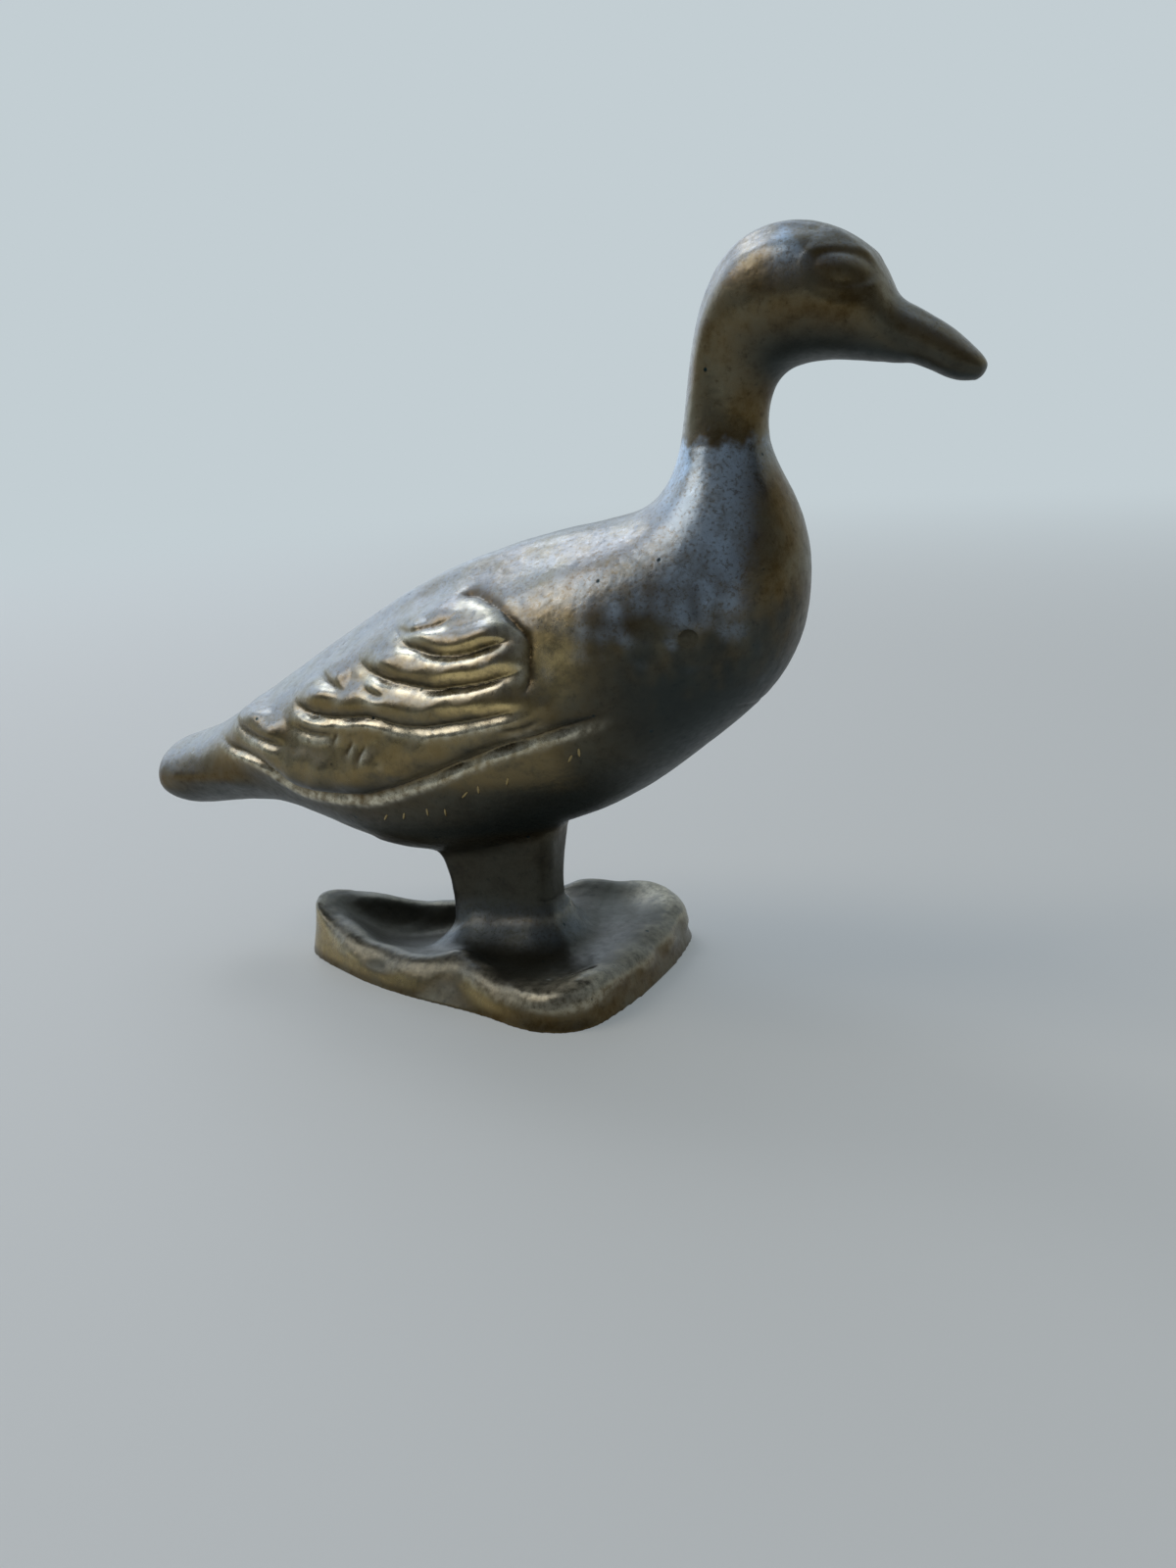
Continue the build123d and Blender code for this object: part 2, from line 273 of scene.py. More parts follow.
x, y, z = place.T
plan = np.stack([x, abs(y)], axis=1)
foot_outline = drawn_line(
    (-36, -6), (-38.5, 0), (-36, 6), (-29, 10.5), (-21, 15), (-7, 19.5), (8.5, 23), (17.5, 25.5),
    (23, 23.5), (26.5, 15.5), (27.5, 0), (26.5, -15.5),
)
web_line = drawn_line((-8, 7), (-5, 11), (-3, 14))
low = z < FOOT_TOP
edge_reach = np.full(point_count, FAR_AWAY)
web_reach = np.full(point_count, FAR_AWAY)
edge_reach[low] = np.clip(line_reach(plan[low], foot_outline)[0] - WALL_SETBACK, 0, None)
web_reach[low] = line_reach(plan[low], web_line)[0]
past_shank_x = np.clip(abs(x) - SHANK_HALF_LENGTH, 0, None)
past_shank_y = np.clip(abs(y) - SHANK_HALF_WIDTH, 0, None)
shank_reach = np.hypot(past_shank_x, past_shank_y) - SHANK_ROUND
print("points of the foot:", low.sum())

# %% Height of the foot's top
RIM_ROUND = 3.5
WEB_RISE, WEB_WIDTH = 0.9, 2.8
FAR_BOWL_MORE = 1.2


def bump(value, middle, width):
    """Soft bump that is 1 at middle and falls off over width."""
    return np.exp(-(((value - middle) / width) ** 2))


rim_stations = (-38, -30, -22, -10, -2, 5, 10, 14, 18, 22, 28)
near_rim = np.interp(x, rim_stations, (9.5, 7.2, 5.6, 5.2, 6.0, 6.0, 5.9, 5.8, 5.9, 6.2, 6.6))
far_rim = np.interp(x, rim_stations, (9.5, 7.4, 5.4, 5.4, 7.5, 9.6, 9.4, 8.8, 8.0, 7.2, 6.6))
far_side = smooth_step(-12, 12, y)
rim = near_rim + (far_rim - near_rim) * far_side
round_off = RIM_ROUND - np.sqrt(RIM_ROUND**2 - np.clip(RIM_ROUND - edge_reach, 0, RIM_ROUND) ** 2)
bowl_depth = np.interp(x, (-36, -20, -4, 10, 24), (1.8, 2.4, 1.2, 0.9, 0.6))
bowl_depth = bowl_depth * (1 + FAR_BOWL_MORE * far_side)
bowl = bowl_depth * smooth_step(RIM_ROUND, 10.0, edge_reach)
web = WEB_RISE * bump(web_reach, 0, WEB_WIDTH)
top = rim - bowl + web
print("foot top, mm:", round(top[low].min(), 1), round(top[low].max(), 1))

# %% Height of the foot's wall
CAD_RIM = 7.0
CAD_TILT = math.tan(math.radians(3))
CAD_HEEL_RISE = 1.5

on_foot = smooth_step(FOOT_TOP, 10, z) * smooth_step(0.4, 1.6, shank_reach)
on_top = on_foot * smooth_step(0.8, 2.2, edge_reach) * smooth_step(0.4, 1.6, z)
cad_rim = CAD_RIM + CAD_TILT * y + CAD_HEEL_RISE * smooth_step(-25, -37, x)
wall = z * (1 + on_foot * ((rim - round_off) / cad_rim - 1))
foot_height = wall + on_top * (top - round_off - wall)
print("wall and top, mm:", round(foot_height[low].min(), 1), round(foot_height[low].max(), 1))

# %% Fillet where the leg meets the foot
CAD_FLARE = 5.6
LEG_LEAN = 1.3
FILLET_SIZE, FILLET_LESS_BEHIND = 4.5, 1.8

fillet_size = FILLET_SIZE - FILLET_LESS_BEHIND * smooth_step(-4, -9, x)
wall_reach = np.clip(shank_reach - LEG_LEAN, 0, None)
fillet_reach = np.clip(fillet_size - wall_reach, 0, None)
fillet = fillet_size - np.sqrt(np.clip(fillet_size**2 - fillet_reach**2, 0, None))
leg_share = np.clip((z - CAD_FLARE) / (FOOT_TOP - CAD_FLARE), 0, 1) * smooth_step(1.0, 0.3, wall_reach)
leg_height = top + fillet + leg_share * (FOOT_TOP - top - fillet)
at_leg = low & (z > 2) & (wall_reach < fillet_size)
foot_height = np.where(at_leg, leg_height, foot_height)
print("points of the fillet:", at_leg.sum())

# %% Move and round the foot
WAIST_DEPTH = 2.4
ROUND_FOOT = 30

waist = WAIST_DEPTH * bump(x, -1, 5.5) * smooth_step(8, 17, abs(y)) * smooth_step(0.5, 5.5, z) * on_foot
shank = smooth_step(4, 7, z) * smooth_step(32, 26, z)
shank = shank * smooth_step(20, 16, abs(x)) * smooth_step(12, 9, abs(y))
shank_taper = shank * smooth_step(-2, -9, x) * np.interp(z, (6, 15, 24), (1.6, 0.6, -1.6))
place = np.stack([x + shank_taper, y - np.sign(y) * waist, foot_height], axis=1)
for step in range(ROUND_FOOT):
    share = 0.5 * np.maximum(on_foot, at_leg) * smooth_step(0.2, 2.5, place[:, 2])
    place = place + share[:, None] * (neighbour_mean(place) - place)
print("rim, mm:", place[on_foot > 0.5, 2].max().round(1))

# %% Fill the corners round the leg
FILL_PASSES = 4
FILL_ROUNDS = 40
FILL_STEP = 0.7


def set_points(mesh, points):
    """Moves a mesh's points to these places in mm and gives the normals there."""
    mesh.vertices.foreach_set("co", (points * MM).ravel())
    mesh.update()
    return point_array(mesh, mesh.vertex_normals, "vector")


x, y, z = place.T
near_leg = smooth_step(26, 18, abs(x)) * smooth_step(17, 12, abs(y))
near_leg = near_leg * smooth_step(34, 27, z) * smooth_step(2, 4, z)
fill_share = np.maximum(near_leg, 0.5 * on_foot)
for fill_pass in range(FILL_PASSES):
    outward = set_points(skin, place)
    for step in range(FILL_ROUNDS):
        hollow = ((neighbour_mean(place) - place) * outward).sum(1)
        place = place + (FILL_STEP * fill_share * np.clip(hollow, 0, None))[:, None] * outward
outward = set_points(skin, place)
print("filled skin, mm:", place.min(0).round(1), place.max(0).round(1))

# %% [markdown]
# ## Carving the feathers
# On the real duck each row of feathers laps over the next one like a roof tile: thick at its lower edge,
# thin above. The edge of a row is drawn here as a line on the side view. The skin moves along its
# normals, out above the line in a rounded roll and in below it. The underside of the roll is noted for
# painted shade, and the strip just below the line is noted as a lip, painted pale as partly rubbed brass
# and partly a painted highlight. A plain crease only sinks, with the same painted shade and lip. The same
# lines serve both sides, because the two wings of a moulded duck are twins.


# %% Values of the carving
def waver(points, size, seed):
    """Smooth random value for each point, mostly from -1 to 1, with swells about size mm long."""
    waves = 16
    chance = np.random.default_rng(seed)
    heading = chance.normal(size=(3, waves))
    heading = heading / np.linalg.norm(heading, axis=0) * 2 * np.pi / size * chance.uniform(0.7, 1.4, waves)
    return np.sin(points @ heading + chance.uniform(0, 2 * np.pi, waves)).sum(1) / np.sqrt(waves)


cut = np.zeros(point_count)
underside = np.zeros(point_count)
lip = np.zeros(point_count)
raise_by = np.zeros(point_count)
x, y, z = place.T
side_view = place[:, [0, 2]]
flank = smooth_step(1.5, 4.0, abs(y))
depth_waver = 1 + 0.18 * waver(place, 6.0, 1)
lip_waver = 1 + 0.4 * waver(place, 1.8, 2)
print("depth of the carving varies from", round(depth_waver.min(), 2), "to", round(depth_waver.max(), 2))


# %% Creases
def near_line(line, margin, fade, view, where):
    """Points in the box round a line, with their reach, side and a share that fades out at its ends."""
    near = np.all((view > line.min(0) - margin) & (view < line.max(0) + margin), axis=1) & (where > 0)
    gap, side, along, length = line_reach(view[near], line)
    fading = smooth_step(0, fade[0], along) * smooth_step(0, fade[1], length - along) * where[near]
    return near, gap, side, fading


def crease(line, depth, above, below, lip_share=0.0, fade=(3.0, 3.0), view=side_view, where=flank):
    """Cuts a crease along a line. Above and below say how far it rounds in on each side, all in mm."""
    near, gap, side, fading = near_line(line, max(above, 3 * below), fade, view, where)
    lean = np.clip(1 - gap / np.where(side > 0, above, below), 0, 1)
    sink = depth * (1 - np.sqrt(1 - lean**2)) * fading * depth_waver[near]
    cut[near] = np.minimum(cut[near], -sink)
    # Painted shade above the crease, under its edge; a pale lip below, partly rubbed, partly painted
    # highlight
    shade = np.clip(1 - gap / (0.6 * above), 0, 1) * fading
    underside[near] = np.maximum(underside[near], np.where(side > 0, min(depth, 1) * shade, 0))
    edge = lip_share * bump(gap, 0.7 * below, 0.5 * below) * fading * lip_waver[near]
    lip[near] = np.maximum(lip[near], np.where(side > 0, 0, edge))


# %% Rows of feathers and ridges
def feather_row(line, rise, edge, above, below, lip_share=1.0, fade=(3.0, 3.0)):
    """Row of feathers that laps over the next: thick and round at its lower edge, thin above, in mm."""
    near, gap, side, fading = near_line(line, max(above, below, 3.0), fade, side_view, flank)
    over = side > 0
    roll = 2 * np.sqrt(1 - np.clip(1 - gap / edge, 0, 1) ** 2) - 1
    upper = roll * smooth_step(above, edge, gap)
    bead = 0.2 * lip_share * bump(gap, 1.4, 0.55)
    lower = bead - np.clip(1 - gap / below, 0, 1) ** 2
    raise_by[near] += 0.5 * rise * np.where(over, upper, lower) * fading * depth_waver[near]
    # Painted shade under the roll; a pale lip below the line, partly rubbed, partly painted highlight
    shade = 0.4 * min(rise, 1) * np.clip(1 - gap / edge, 0, 1) * fading
    underside[near] = np.maximum(underside[near], np.where(over, shade, 0))
    bright = lip_share * bump(gap, 1.2, 0.7) * fading * lip_waver[near]
    lip[near] = np.maximum(lip[near], np.where(over, 0, bright))


def ridge(line, height, width, fade=(3.0, 3.0), view=side_view, where=flank):
    """Raises a soft ridge along a line, in mm."""
    near, gap, side, fading = near_line(line, 3 * width, fade, view, where)
    raise_by[near] += height * bump(gap, 0, width) * fading


# %% Rows of the folded wing
shoulder = drawn_line(
    (2, 64.5), (5.5, 65), (8.5, 64.5), (11.5, 63.5), (15.5, 61), (17.5, 59), (18, 56), (18, 53), (17, 51)
)
row_1 = drawn_line((-10, 60), (-5, 59.5), (-2, 59.5), (2, 61), (5, 62.5))
row_2 = drawn_line(
    (-9, 60), (-6, 59), (-4, 58), (-1, 57.5), (2, 57), (5, 57), (8.5, 57.5), (11.5, 58.5), (16, 59.5)
)
row_3 = drawn_line(
    (-16, 56), (-11, 54), (-7.5, 53), (-3.5, 52.5), (2, 52), (6.5, 52.5), (12, 53.5), (18, 55.5)
)
row_4 = drawn_line(
    (-29, 49.5), (-26, 47.5), (-22, 46.5), (-15.5, 46.5), (-11, 47), (-7, 46.5), (-4, 46), (0, 46),
    (3, 46.5), (8, 47.5), (12.5, 48.5), (16, 49.5), (17.5, 50.5),
)
row_5 = drawn_line((12, 46), (17, 47), (20.5, 48.5))
wing_edge = drawn_line(
    (-48, 40.5), (-43, 39), (-39, 38.5), (-35, 37.5), (-31.5, 35.5), (-28, 33.5), (-24, 33), (-18, 33),
    (-13, 33.5), (-9.5, 34.5), (-5, 36), (0, 38), (5, 40), (10, 42), (16, 44), (20.5, 45.5), (25, 47),
    (30, 48.5),
)
crease(shoulder, depth=1.0, above=2.2, below=2.0, lip_share=0.5)
feather_row(row_1, rise=0.8, edge=1.6, above=4.5, below=2.0, lip_share=0.6, fade=(6, 4))
feather_row(row_2, rise=1.7, edge=1.7, above=4.0, below=2.6, fade=(8, 5))
feather_row(row_3, rise=1.9, edge=1.9, above=5.0, below=3.0, fade=(10, 5))
feather_row(row_4, rise=2.0, edge=2.4, above=5.5, below=3.0, fade=(8, 5))
feather_row(row_5, rise=0.6, edge=1.0, above=2.2, below=1.4, lip_share=0.5)
feather_row(wing_edge, rise=2.6, edge=4.0, above=9.0, below=2.6, fade=(8, 10))
print("rows, mm:", round(raise_by.min(), 2), round(raise_by.max(), 2))

# %% Long feathers behind, and the tuft between them
primary_1 = drawn_line((-43, 43.5), (-38, 42), (-34.5, 41.5), (-30, 41), (-26.5, 41))
primary_2 = drawn_line((-28, 44.5), (-22.5, 43.5), (-19.5, 43.5), (-17, 44))
covert_1 = drawn_line((-24, 53), (-19.5, 51.5), (-16, 50.5), (-14, 50.5))
covert_2 = drawn_line((-12, 51.5), (-9, 50.5), (-5.5, 50))
feather_row(primary_1, rise=1.8, edge=2.2, above=5.0, below=2.8, lip_share=0.6, fade=(7, 5))
feather_row(primary_2, rise=1.2, edge=1.2, above=2.6, below=2.0, lip_share=0.9, fade=(5, 3))
feather_row(covert_1, rise=1.2, edge=1.4, above=4.0, below=2.2, lip_share=0.6, fade=(5, 4))
feather_row(covert_2, rise=1.0, edge=1.2, above=3.0, below=1.8, lip_share=0.6)
for foot_x, low_z, high_z in ((-18, 41, 44.5), (-15, 39.5, 43.5), (-12.5, 38.5, 43), (-9.5, 38.5, 41)):
    barb = drawn_line((foot_x, low_z), (foot_x + 0.5, 0.5 * (low_z + high_z)), (foot_x + 2, high_z))
    crease(barb, depth=0.5, above=1.6, below=1.2, lip_share=0.3, fade=(2, 2))
print("deepest crease, mm:", round(cut.min(), 2))

# %% Edge of the tail, and the small step under the breast
tail_edge = drawn_line((-62, 31.5), (-56, 32), (-46, 32.5), (-36, 32.5))
ridge(tail_edge, height=0.5, width=1.6, fade=(4, 10))
breast_line = drawn_line((43.5, 48.0), (45.0, 47.0), (47.5, 46.5))
crease(breast_line, depth=0.3, above=0.8, below=0.6, fade=(1, 1), where=smooth_step(9, 3, abs(y)))
print("tail ridge, mm:", round(raise_by.max(), 2))

# %% [markdown]
# ## The face
# The eye of the real duck is only hinted at: a low almond with a groove round it and a soft fold outside
# that. A brow ridge runs from the crown to the bill, and a flat patch lies behind it, as if a thumb had
# pressed the wax. All of it is a fraction of a millimetre high, so the light has to find it.

# %% Eyes, brows and the fold of the bill
EYE_HALF_LENGTH, EYE_HALF_HEIGHT, EYE_TILT = 3.5, 1.9, 0.2
EYE_SWELL, BILL_FOLD_DEPTH = 0.32, 0.22

on_cheek = smooth_step(1.5, 3.5, abs(y)) * smooth_step(98, 101, z)
brow = drawn_line((56.5, 113.5), (58, 113), (59.5, 112), (62, 110.5), (64.5, 108.5), (66, 106))
thumb_edge = drawn_line((57, 113), (56, 111), (55, 109), (54.5, 107))
ridge(brow, height=0.30, width=1.0, fade=(3, 2), where=on_cheek)
crease(thumb_edge, depth=0.16, above=3.0, below=2.5, where=on_cheek)
eye_rise = z - EYE_Z + EYE_TILT * (x - EYE_X)
eye_reach = np.hypot((x - EYE_X) / EYE_HALF_LENGTH, eye_rise / EYE_HALF_HEIGHT)
eye_upper = smooth_step(-0.6, 0.8, eye_rise)
eyeball = EYE_SWELL * bump(eye_reach, 0, 0.6)
lid_groove = -(0.10 + 0.06 * eye_upper) * bump(eye_reach, 1.05, 0.2)
lid_fold = (0.07 + 0.05 * eye_upper) * bump(eye_reach, 1.45, 0.25)
face = on_cheek * (eyeball + lid_groove + lid_fold)
bill_fold_x = 66.8 + 1.6 * smooth_step(105, 98, z)
bill_fold = -BILL_FOLD_DEPTH * bump(x, bill_fold_x, 1.3) * smooth_step(90, 93, z)
print("face relief, mm:", round(face.min(), 2), round(face.max(), 2))

# %% Toes
TOE_SWELL = 0.7

top_view = np.stack([x, abs(y)], axis=1)
on_dish = on_foot * smooth_step(2.0, 3.5, z)
on_near_dish = on_dish * (y < 0)
toe_line = drawn_line((15.5, 18.5), (18.5, 16), (22, 12))
toe_ridge = drawn_line((9, 2.5), (14.5, 7), (18, 13))
toe_swell = TOE_SWELL * bump(np.hypot(x - 22, abs(y) - 19), 0, 4.5) * on_dish
crease(toe_line, depth=0.8, above=1.4, below=1.4, fade=(2, 2), view=top_view, where=on_near_dish)
ridge(toe_ridge, height=0.3, width=1.8, view=top_view, where=on_near_dish)
rim_waver = (0.22 * waver(place, 11.0, 3) + 0.012 * waver(place, 2.2, 8)) * on_dish
print("toe swell, mm:", round(toe_swell.max(), 2))

# %% Carve the skin
CARVING_ROUNDS = 3
CARVING_STEP = 0.3
PLUG_X, PLUG_Z = 40.5, 58.9
NECK_JOINT_Z = 85.0
PLUG_RING_DEPTH, NECK_LINE_DEPTH = 0.10, 0.06

hand_waver = (0.035 * waver(place, 9.0, 4) + 0.010 * waver(place, 2.4, 5)) * smooth_step(0.5, 2.0, z)
ring_reach = np.hypot(x - PLUG_X, z - PLUG_Z)
plug_ring = -PLUG_RING_DEPTH * bump(ring_reach, 1.5, 0.3)
neck_line = -NECK_LINE_DEPTH * np.exp(-abs(z - NECK_JOINT_Z) / 0.35) * smooth_step(30, 33, x)
relief = cut + raise_by + face + bill_fold + toe_swell + rim_waver + hand_waver + plug_ring + neck_line
place = place + outward * relief[:, None]
for step in range(CARVING_ROUNDS):
    place = place + CARVING_STEP * (neighbour_mean(place) - place)
place[:, 2] = np.maximum(place[:, 2], 0)
outward = set_points(skin, place)
print("carved skin, mm:", place.min(0).round(1), place.max(0).round(1))

# %% [markdown]
# ## Where the finish changes, and where light and shade are painted in
# Age has left some colours on the brass: a grey bloom over the shoulders up to the neck joint, brown dirt
# in the creases, and bright metal where hands rub it. Painted light lies on top of these: painted shade
# under the rolls, a near-black painted shade on the belly, lower breast, leg and dish, a painted blue sheen
# on the crown and the tops, and painted highlights in pale and gold brass on lips, rolls, shoulder and
# foot.
# Each of these is a number on every point, so that the material can mix them wherever the piece is seen
# from.


# %% Painted shade under the rolls with dirt in hollows, and pale brass partly rubbed and partly painted highlight
HOLLOW_UNIT = 0.02
TOE_HIGHLIGHT, RIM_HIGHLIGHT = 0.7, 0.3


def soft(values, rounds):
    """Values spread over the skin by averaging with the neighbours."""
    values = values[:, None]
    for step in range(rounds):
        values = 0.5 * values + 0.5 * neighbour_mean(values)
    return values[:, 0]


x, y, z = place.T
normal_x = outward[:, 0]
normal_z = outward[:, 2]
hollow = ((neighbour_mean(place) - place) * outward).sum(1)
hollow = soft(hollow, 3) / HOLLOW_UNIT
upward = smooth_step(0.1, 0.8, normal_z - 0.3 * normal_x)
# Painted shade under the rolls, with brown dirt in the hollows
roll_shade_and_dirt = np.clip(smooth_step(0.05, 0.75, soft(underside, 1)) + 0.5 * smooth_step(0.3, 1.2, hollow), 0, 1)
# Pale brass on the lips, the toe and the rim of the foot: partly rubbed, partly painted highlight
toe_highlight = TOE_HIGHLIGHT * bump(np.hypot(x - 20, abs(y) - 20), 0, 5.0) * on_dish
rim_highlight = RIM_HIGHLIGHT * on_dish * smooth_step(0.05, 0.3, soft(-hollow, 12))
rub_and_highlight = np.clip(soft(lip, 1) + toe_highlight + rim_highlight, 0, 1)
print("hollow points:", (hollow > 0.3).sum())

# %% Painted shade underneath and in front, and bloom with a painted sheen
BELLY_SHADE, BREAST_SHADE, LEG_SHADE, DISH_SHADE, BILL_SHADE_SHARE = 0.85, 0.88, 0.6, 0.68, 0.6
LEG_DUST, TOP_SHEEN = 0.18, 0.28

# Painted shade: near black under the belly, on the lower breast, the leg, the dish and under the bill
belly = BELLY_SHADE * smooth_step(-0.10, -0.85, normal_z) * smooth_step(22, 27, z)
breast_height = z + 2.0 * waver(place, 7.0, 12) + 1.2 * waver(place, 2.5, 13)
breast = BREAST_SHADE * smooth_step(14, 38, x) * smooth_step(70, 48, breast_height) * smooth_step(26, 30, z)
leg = LEG_SHADE * smooth_step(28, 22, z) * (1 - on_foot)
dish = DISH_SHADE * on_foot * smooth_step(0.25, 0.7, normal_z)
bill_shade = BILL_SHADE_SHARE * smooth_step(0.35, -0.25, normal_z) * smooth_step(62, 68, x)
painted_shade = np.maximum(np.maximum(belly, leg), np.maximum(dish, np.maximum(bill_shade, breast)))
# The bloom is partly a grey-blue deposit and partly a painted reflection of a blue sky
bloom_edge = smooth_step(86.6, 83.8, z + 0.8 * waver(place, 4.0, 6) + 0.4 * waver(place, 1.3, 9))
bloom_height = z + 2.5 * waver(place, 12.0, 7) + 3.0 * waver(place, 4.0, 11)
bloom_reach = smooth_step(-4, 12, x) * smooth_step(50, 44, x) * smooth_step(55, 74, bloom_height)
# Painted sheen of the sky on a facet of the crown
crown = bump(np.hypot((x - 53.5) / 3.0, (z - 111.5) / 3.5), 0, 1) * smooth_step(112, 110, z + x - 55)
# Less bloom on surfaces that face up, where the lamps fall brightest: painted shade on the tops
bloom_level = 1 - 0.75 * smooth_step(0.2, 0.85, normal_z)
leg_dust = LEG_DUST * bump(shank_reach, 1.5, 2.5) * smooth_step(14, 9, z) * smooth_step(2, 4, z)
bloom_and_sheen = np.maximum(np.maximum(bloom_edge * bloom_reach * bloom_level, crown), leg_dust)
# Painted sheen of a blue sky on surfaces that face up and to the left
bloom_and_sheen = np.maximum(bloom_and_sheen, TOP_SHEEN * upward * (1 - on_foot))
print("points under soot:", (painted_shade > 0.5).sum(), "and bloom:", (bloom_and_sheen > 0.5).sum())

# %% Gold painted as highlight and reflection, partly worn brass, and all of it on the points
WING_GOLD_REFLECTION, FOOT_GOLD_REFLECTION = 0.2, 0.4

# Painted gold highlight on the shoulder patch and the down-facing halves of the rolls, partly worn brass
shoulder_reach = np.hypot((x - 21.5) / 3.5, (z - 57.5) / 5.0)
roll_highlight = smooth_step(0, 6, x) * smooth_step(18, 15, x) * smooth_step(47, 50, z) * smooth_step(61, 59, z)
roll_side = smooth_step(0.35, -0.10, normal_z)
# Painted warm reflection on the flank under the wing and on the upright walls of the foot
wing_gold_reflection = WING_GOLD_REFLECTION * smooth_step(24, 18, x) * smooth_step(34, 38, z) * smooth_step(0.7, 0.2, normal_z)
foot_wall_reflection = FOOT_GOLD_REFLECTION * smooth_step(16, 4, x) * on_foot
foot_wall_reflection = foot_wall_reflection * smooth_step(0.6, 0.2, abs(normal_z)) * smooth_step(0.5, 2.0, z)
wear_and_highlight = np.clip(bump(shoulder_reach, 0, 1.0) + roll_highlight * roll_side, 0, 1) * smooth_step(4, 9, abs(y))
wear_and_highlight = np.maximum(wear_and_highlight, np.maximum(foot_wall_reflection, wing_gold_reflection))
finish = {"roll_shade_and_dirt": roll_shade_and_dirt, "rub_and_highlight": rub_and_highlight, "painted_shade": painted_shade, "bloom_and_sheen": bloom_and_sheen, "wear_and_highlight": wear_and_highlight}
for name, values in finish.items():
    skin.attributes.new(name, "FLOAT", "POINT").data.foreach_set("value", values)
    print(name, "mean", round(values.mean(), 3), "most", round(values.max(), 2))
skin.attributes.new("carved_normal", "FLOAT_VECTOR", "POINT").data.foreach_set("vector", outward.ravel())

# %% [markdown]
# ## Back to separate pieces
# The marks on the real duck fit a casting in parts that were pinned together: two halves of the body, the
# neck with the head, and the foot. The carved skin is cut along those same joints and each cut is closed,
# so every piece is a solid of its own. The normals of the whole skin are kept on the pieces, so that the
# light runs across a joint without a break.

# %% Planes of the joints
LEG_JOINT_Z, LEG_JOINT_SLOPE = 21.9, -0.265
CUT_REACH = 1e-8

neck_joint = ((0, 0, NECK_JOINT_Z), (0, 0, 1))
leg_joint = ((0, 0, LEG_JOINT_Z), (LEG_JOINT_SLOPE, 0, 1))
middle_joint = ((0, 0, 0), (0, 1, 0))


def keep_side(solid, joint, sign):
    """Keeps the part of a solid on one side of a joint's plane and closes the cut."""
    point, direction = joint
    everything = solid.verts[:] + solid.edges[:] + solid.faces[:]
    normal = Vector(direction).normalized() * sign
    place_m = Vector(point) * MM
    opened = bmesh.ops.bisect_plane(
        solid, geom=everything, dist=CUT_REACH, plane_co=place_m, plane_no=normal, clear_inner=True
    )
    rim = [part for part in opened["geom_cut"] if isinstance(part, bmesh.types.BMEdge)]
    bmesh.ops.edgeloop_fill(solid, edges=rim)


# %% Cut along the joints
def cut_piece(name, *sides):
    """New object from the carved skin, cut along joints."""
    solid = bmesh.new()
    solid.from_mesh(skin)
    for joint, sign in sides:
        keep_side(solid, joint, sign)
    mesh = bpy.data.meshes.new(name)
    solid.to_mesh(mesh)
    solid.free()
    mesh.shade_smooth()
    mesh.normals_split_custom_set_from_vertices(
        [value.vector.normalized() for value in mesh.attributes["carved_normal"].data]
    )
    piece = bpy.data.objects.new(name, mesh)
    scene_objects.link(piece)
    triangles = sum(len(face.vertices) - 2 for face in mesh.polygons)
    print(name, "triangles:", triangles)
    return piece


head_piece = cut_piece("cast_head", (neck_joint, 1))
foot_piece = cut_piece("cast_foot", (leg_joint, -1))
right_piece = cut_piece("cast_body_right", (neck_joint, -1), (leg_joint, 1), (middle_joint, -1))
left_piece = cut_piece("cast_body_left", (neck_joint, -1), (leg_joint, 1), (middle_joint, 1))

# %% [markdown]
# ## The two plugs
# A faint ring on the breast is taken for a plug, where a pin held the clay core in the mould and the hole
# was filled after. Each plug is a short peg whose face follows the skin, so it is laid ring by ring on
# the carved surface with rays.

# %% A ray onto the skin
RAY_START = 0.05

surface = BVHTree.FromPolygons(
    [vertex.co for vertex in skin.vertices], [face.vertices for face in skin.polygons], epsilon=0.0
)


def skin_below(ray_x, ray_z, side):
    """Place of the skin at X and Z in mm, seen from one side of the duck."""
    start = Vector((ray_x * MM, side * RAY_START, ray_z * MM))
    return surface.ray_cast(start, Vector((0, -side, 0)))[0]


# %% Plugs of the core pin
PLUG_RADIUS = 1.42
PLUG_LENGTH = 2.6
PLUG_RINGS = (0.35, 0.7, 0.92, 1.0)
PLUG_SIDES = 40
FACE_PROUD, EDGE_PROUD = 0.03, -0.10

plugs = bmesh.new()
for side in (-1, 1):
    rings = []
    for share in PLUG_RINGS:
        ring = []
        radius = PLUG_RADIUS * share
        proud = FACE_PROUD if share < 1 else EDGE_PROUD
        for step in range(PLUG_SIDES):
            angle = 2 * math.pi * step / PLUG_SIDES
            on_skin = skin_below(PLUG_X + radius * math.cos(angle), PLUG_Z + radius * math.sin(angle), side)
            ring.append(plugs.verts.new(on_skin + Vector((0, side * proud * MM, 0))))
        rings.append(ring)
    depth = Vector((0, side * PLUG_LENGTH * MM, 0))
    rings.append([plugs.verts.new(vertex.co - depth) for vertex in rings[-1]])
    for inner, outer in zip(rings[:-1], rings[1:]):
        for step in range(PLUG_SIDES):
            after = (step + 1) % PLUG_SIDES
            plugs.faces.new((inner[step], outer[step], outer[after], inner[after]))
    plugs.faces.new(rings[0])
    plugs.faces.new(rings[-1])
bmesh.ops.recalc_face_normals(plugs, faces=plugs.faces)
print("plug faces:", len(plugs.faces))

# %% Object of the plugs
# The plugs take the painted shade of the breast round them
PLUG_SHADE = 0.45

